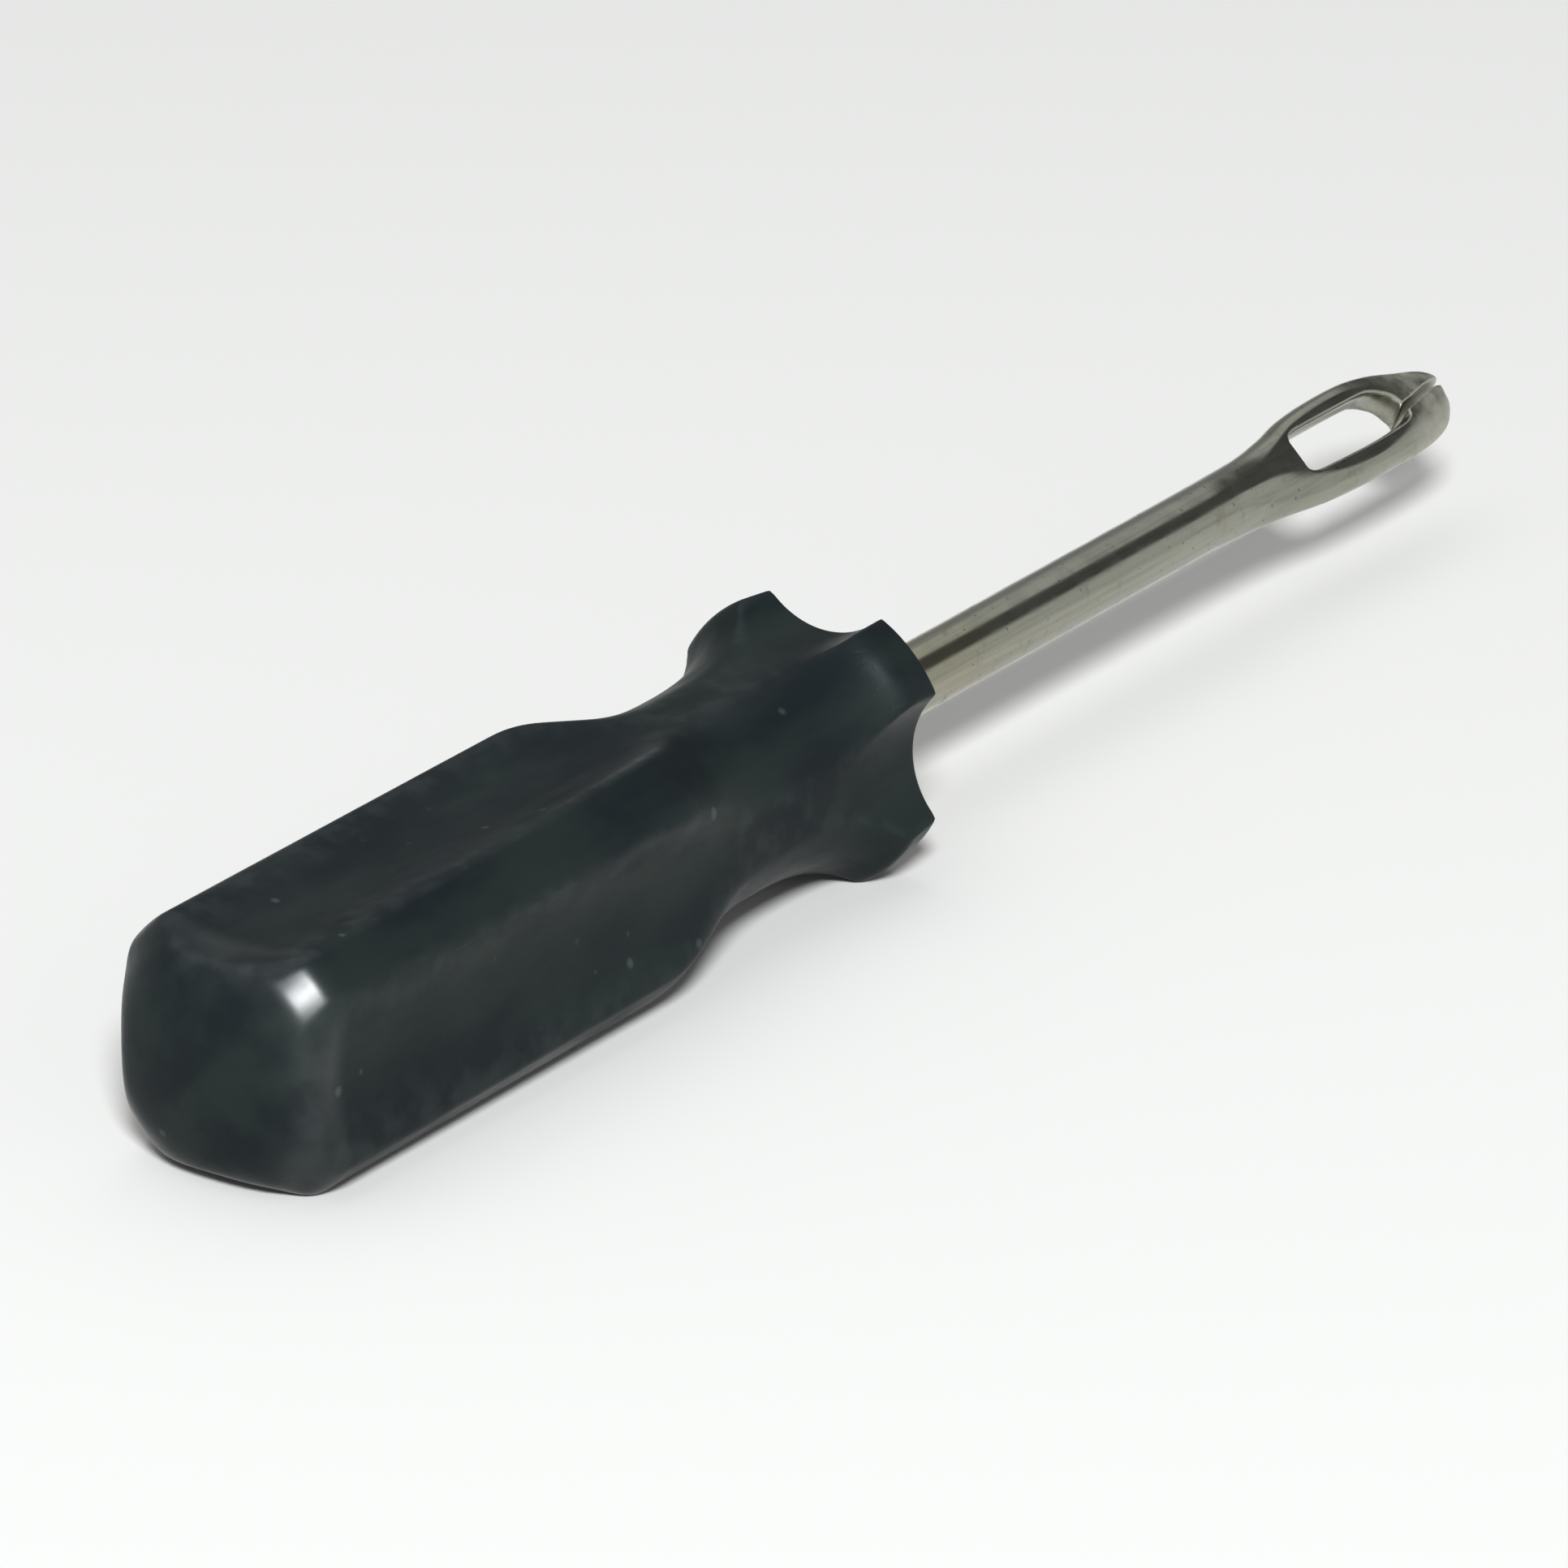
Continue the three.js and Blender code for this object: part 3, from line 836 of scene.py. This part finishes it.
def slope(form, points):
    """The form's value and gradient at each point."""
    reach = 0.004 * MM
    arms = np.array([(1, 1, 1), (1, -1, -1), (-1, 1, -1), (-1, -1, 1)]) * reach
    values = [form.at(points + arm) for arm in arms]
    gradient = sum(v[:, None] * arm for v, arm in zip(values, arms)) / (4 * reach * reach)
    return sum(values) / 4, gradient


def settled(form, points, rounds, furthest):
    """Points moved on to the surface of the form."""
    for _ in range(rounds):
        value, gradient = slope(form, points)
        step = value[:, None] * gradient / np.maximum((gradient ** 2).sum(axis=1), 1e-6)[:, None]
        reach = np.linalg.norm(step, axis=1, keepdims=True)
        points = points - step * np.minimum(1, furthest / np.maximum(reach, 1e-9))
    return points


def evened(points, quads):
    """Points moved half way to the middle of their neighbours."""
    total = np.zeros_like(points)
    count = np.zeros(len(points))
    for side in range(4):
        a, b = quads[:, side], quads[:, (side + 1) % 4]
        for here, there in ((a, b), (b, a)):
            np.add.at(total, here, points[there])
            np.add.at(count, here, 1)
    return (points + total / count[:, None]) / 2


def needle_mesh(needle):
    """The needle as a plain mesh in place."""
    form = NeedleForm(needle)
    margin = 0.46 * MM
    leaf_start = LEAF_START * MM
    tip = needle_outline(needle)[:, 0].max()
    xs = np.concatenate([
        np.arange(-needle.tang_length - margin, leaf_start, needle.shank_mesh),
        np.arange(leaf_start, tip + margin, needle.leaf_mesh)])
    widest = needle.wing_span / 2 + margin
    thickest = needle.shank_radius + margin
    ys = np.arange(-widest, widest, needle.leaf_mesh)
    zs = np.arange(-thickest, thickest, needle.leaf_mesh)
    points, quads = skin(form.on_grid(xs, ys, zs), (xs, ys, zs))
    points = settled(form, points, 3, needle.leaf_mesh)
    for _ in range(2):
        points = settled(form, evened(points, quads), 1, needle.leaf_mesh)

    sideways = np.array([0, math.cos(LEAF_ANGLE), math.sin(LEAF_ANGLE)])
    through = np.array([0, -math.sin(LEAF_ANGLE), math.cos(LEAF_ANGLE)])
    lengthwise = np.array([1, 0, 0])
    placed = np.array(FACE) + points @ np.stack([lengthwise, sideways, through])
    mesh = bpy.data.meshes.new("needle")
    mesh.from_pydata(placed.tolist(), [], quads.tolist())
    mesh.shade_smooth()
    return mesh


class PLUGTOOL_OT_needle(bpy.types.Operator):
    """Make the steel needle with its split eye"""

    bl_idname = "plug_tool.forge_needle"
    bl_label = "Forge the needle"

    def execute(self, context):
        needle = context.scene.plug_tool_needle
        thing = mesh_object("needle", needle_mesh(needle))
        thing.data.materials.append(plated_steel(needle))
        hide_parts("split_eye_needle")
        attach(thing, BODY)
        return {"FINISHED"}


# ---------------------------------------------------------------- stage


def resting_line(thing):
    """Where the tool touches the ground: a point under the collar and the slope to the butt."""
    collar_length = 20 * MM
    places = np.empty(len(thing.data.vertices) * 3)
    thing.data.vertices.foreach_get("co", places)
    places = places.reshape(-1, 3)
    lowest = places[places[:, 2].argmin()]
    behind = places[places[:, 0] < lowest[0] - collar_length]
    slopes = (behind[:, 2] - lowest[2]) / (lowest[0] - behind[:, 0])
    return Vector(lowest), math.atan(slopes.min())


def add_area_light(name, centre, direction, distance, width, depth, power, tint):
    """An oval area light that looks at centre from a direction. Lengths are in metres."""
    data = bpy.data.lights.new(name, "AREA")
    data.shape = "ELLIPSE"
    data.size = width
    data.size_y = depth
    data.energy = power
    data.color = tint
    light = bpy.data.objects.new(name, data)
    light.location = centre + direction.normalized() * distance
    light.rotation_mode = "QUATERNION"
    light.rotation_quaternion = direction.to_track_quat("Z", "Y")
    bpy.context.scene.collection.objects.link(light)


# Pairs between which the room changes smoothly: how far a direction points along the dark band,
# along +X, above the dark corner's sill, and along +Y
BAND_EDGE = (0.89, 0.965)
CORNER_SIDE = (0.79, 0.85)
CORNER_SILL = (-0.02, 0.06)
FAR_SIDE = (0.32, 0.6)
FAR_SIDE_LIGHT = 0.45
ROOM_TINT = (0.97, 1.0, 1.0, 1)


def studio_world(stage):
    """A pale room with a dark band along X and a dark upper corner towards +X.

    Polished rods along X show the band as one dark line. Where the needle tapers it leans
    towards +X and shows the dark corner. The far side of the room is dimmer.
    """
    world = bpy.data.worlds.new("studio")
    world.use_nodes = True
    wiring = Wiring(world.node_tree)
    calc = wiring.math
    direction = wiring.add("ShaderNodeTexCoord").outputs["Generated"]
    parts = wiring.add("ShaderNodeSeparateXYZ", (direction,)).outputs

    def share_of(tilt):
        """How far a direction points along one that stands at this tilt on the near side."""
        axis = (0, -math.cos(tilt), math.sin(tilt))
        node = wiring.add("ShaderNodeVectorMath", (direction, axis), operation="DOT_PRODUCT")
        return node.outputs["Value"]

    away_from_x = calc("SQRT", calc("SUBTRACT", 1.0001, calc("POWER", parts["X"], 2)))
    band = wiring.ramp(calc("DIVIDE", share_of(stage.band_tilt), away_from_x), *BAND_EDGE, 0, 1)
    above_edge = share_of(stage.corner_tilt + math.radians(90))
    corner = calc("MULTIPLY", wiring.ramp(parts["X"], *CORNER_SIDE, 0, 1),
                  wiring.ramp(above_edge, *CORNER_SILL, 0, 1))
    dark = calc("MAXIMUM", band, corner)
    light = wiring.between(dark, stage.room_light, stage.band_light)
    light = calc("MULTIPLY", light, wiring.ramp(parts["Y"], *FAR_SIDE, 1, FAR_SIDE_LIGHT))
    background = world.node_tree.nodes["Background"]
    world.node_tree.links.new(light, background.inputs["Strength"])
    background.inputs["Color"].default_value = ROOM_TINT
    bpy.context.scene.world = world


class PLUGTOOL_OT_stage(bpy.types.Operator):
    """Lay the floor, hang the lights and set up the camera"""

    bl_idname = "plug_tool.set_stage"
    bl_label = "Set the stage"

    def execute(self, context):
        stage = context.scene.plug_tool_stage
        contact, lean = resting_line(bpy.data.objects["grip"])
        half = stage.floor_size / 2
        corners = [(-half, -half, 0), (half, -half, 0), (half, half, 0), (-half, half, 0)]
        mesh = bpy.data.meshes.new("floor")
        mesh.from_pydata(corners, [], [(0, 1, 2, 3)])
        floor = mesh_object("floor", mesh)
        floor.data.materials.append(floor_paper(stage))
        floor.location = contact
        floor.rotation_euler = (0, lean, 0)

        centre = Vector((0, 0, AXIS_HEIGHT))
        studio_world(stage)
        add_area_light(
            "key", centre, direction=Vector((-0.64, -0.47, 0.61)), distance=2.4, width=0.5,
            depth=0.5, power=stage.key_power, tint=(0.95, 0.98, 1.0))
        add_area_light(
            "softbox", centre, direction=Vector((-0.1, 0.35, 1)), distance=2.6, width=3.0,
            depth=2.2, power=stage.top_power, tint=(1.0, 0.99, 0.97))

        data = bpy.data.cameras.new("camera")
        data.lens = stage.focal_length
        data.sensor_width = 36
        data.clip_start = 0.05
        data.clip_end = 30
        camera = bpy.data.objects.new("camera", data)
        back = Vector((
            math.sin(stage.azimuth) * math.cos(stage.elevation),
            -math.cos(stage.azimuth) * math.cos(stage.elevation),
            math.sin(stage.elevation)))
        camera.location = centre + FRAMING_SHIFT + back * stage.distance
        camera.rotation_mode = "QUATERNION"
        camera.rotation_quaternion = back.to_track_quat("Z", "Y")
        context.scene.collection.objects.link(camera)
        context.scene.camera = camera
        context.scene.view_settings.view_transform = "Standard"
        return {"FINISHED"}


# ---------------------------------------------------------------- add-on


class PLUGTOOL_PT_panel(bpy.types.Panel):
    """Sizes, colours and the buttons that make the tool"""

    bl_idname = "PLUGTOOL_PT_panel"
    bl_label = "Plug tool"
    bl_space_type = "VIEW_3D"
    bl_region_type = "UI"
    bl_category = "Plug tool"

    def draw(self, context):
        scene = context.scene
        groups = (
            (scene.plug_tool_grip, PLUGTOOL_OT_grip),
            (scene.plug_tool_needle, PLUGTOOL_OT_needle),
            (scene.plug_tool_stage, PLUGTOOL_OT_stage),
        )
        for settings, operator in groups:
            box = self.layout.box()
            for name in settings.__annotations__:
                box.prop(settings, name)
            box.operator(operator.bl_idname)


CLASSES = (
    PLUGTOOL_PG_grip, PLUGTOOL_PG_needle, PLUGTOOL_PG_stage,
    PLUGTOOL_OT_grip, PLUGTOOL_OT_needle, PLUGTOOL_OT_stage,
    PLUGTOOL_PT_panel,
)


def register():
    """Adds the classes and the scene's settings."""
    for cls in CLASSES:
        bpy.utils.register_class(cls)
    bpy.types.Scene.plug_tool_grip = PointerProperty(type=PLUGTOOL_PG_grip)
    bpy.types.Scene.plug_tool_needle = PointerProperty(type=PLUGTOOL_PG_needle)
    bpy.types.Scene.plug_tool_stage = PointerProperty(type=PLUGTOOL_PG_stage)


def unregister():
    """Takes them away again."""
    del bpy.types.Scene.plug_tool_stage
    del bpy.types.Scene.plug_tool_needle
    del bpy.types.Scene.plug_tool_grip
    for cls in reversed(CLASSES):
        bpy.utils.unregister_class(cls)


def main():
    """Makes the tool and its studio."""
    register()
    bpy.ops.plug_tool.mould_grip()
    bpy.ops.plug_tool.forge_needle()
    bpy.ops.plug_tool.set_stage()


if __name__ == "__main__":
    main()
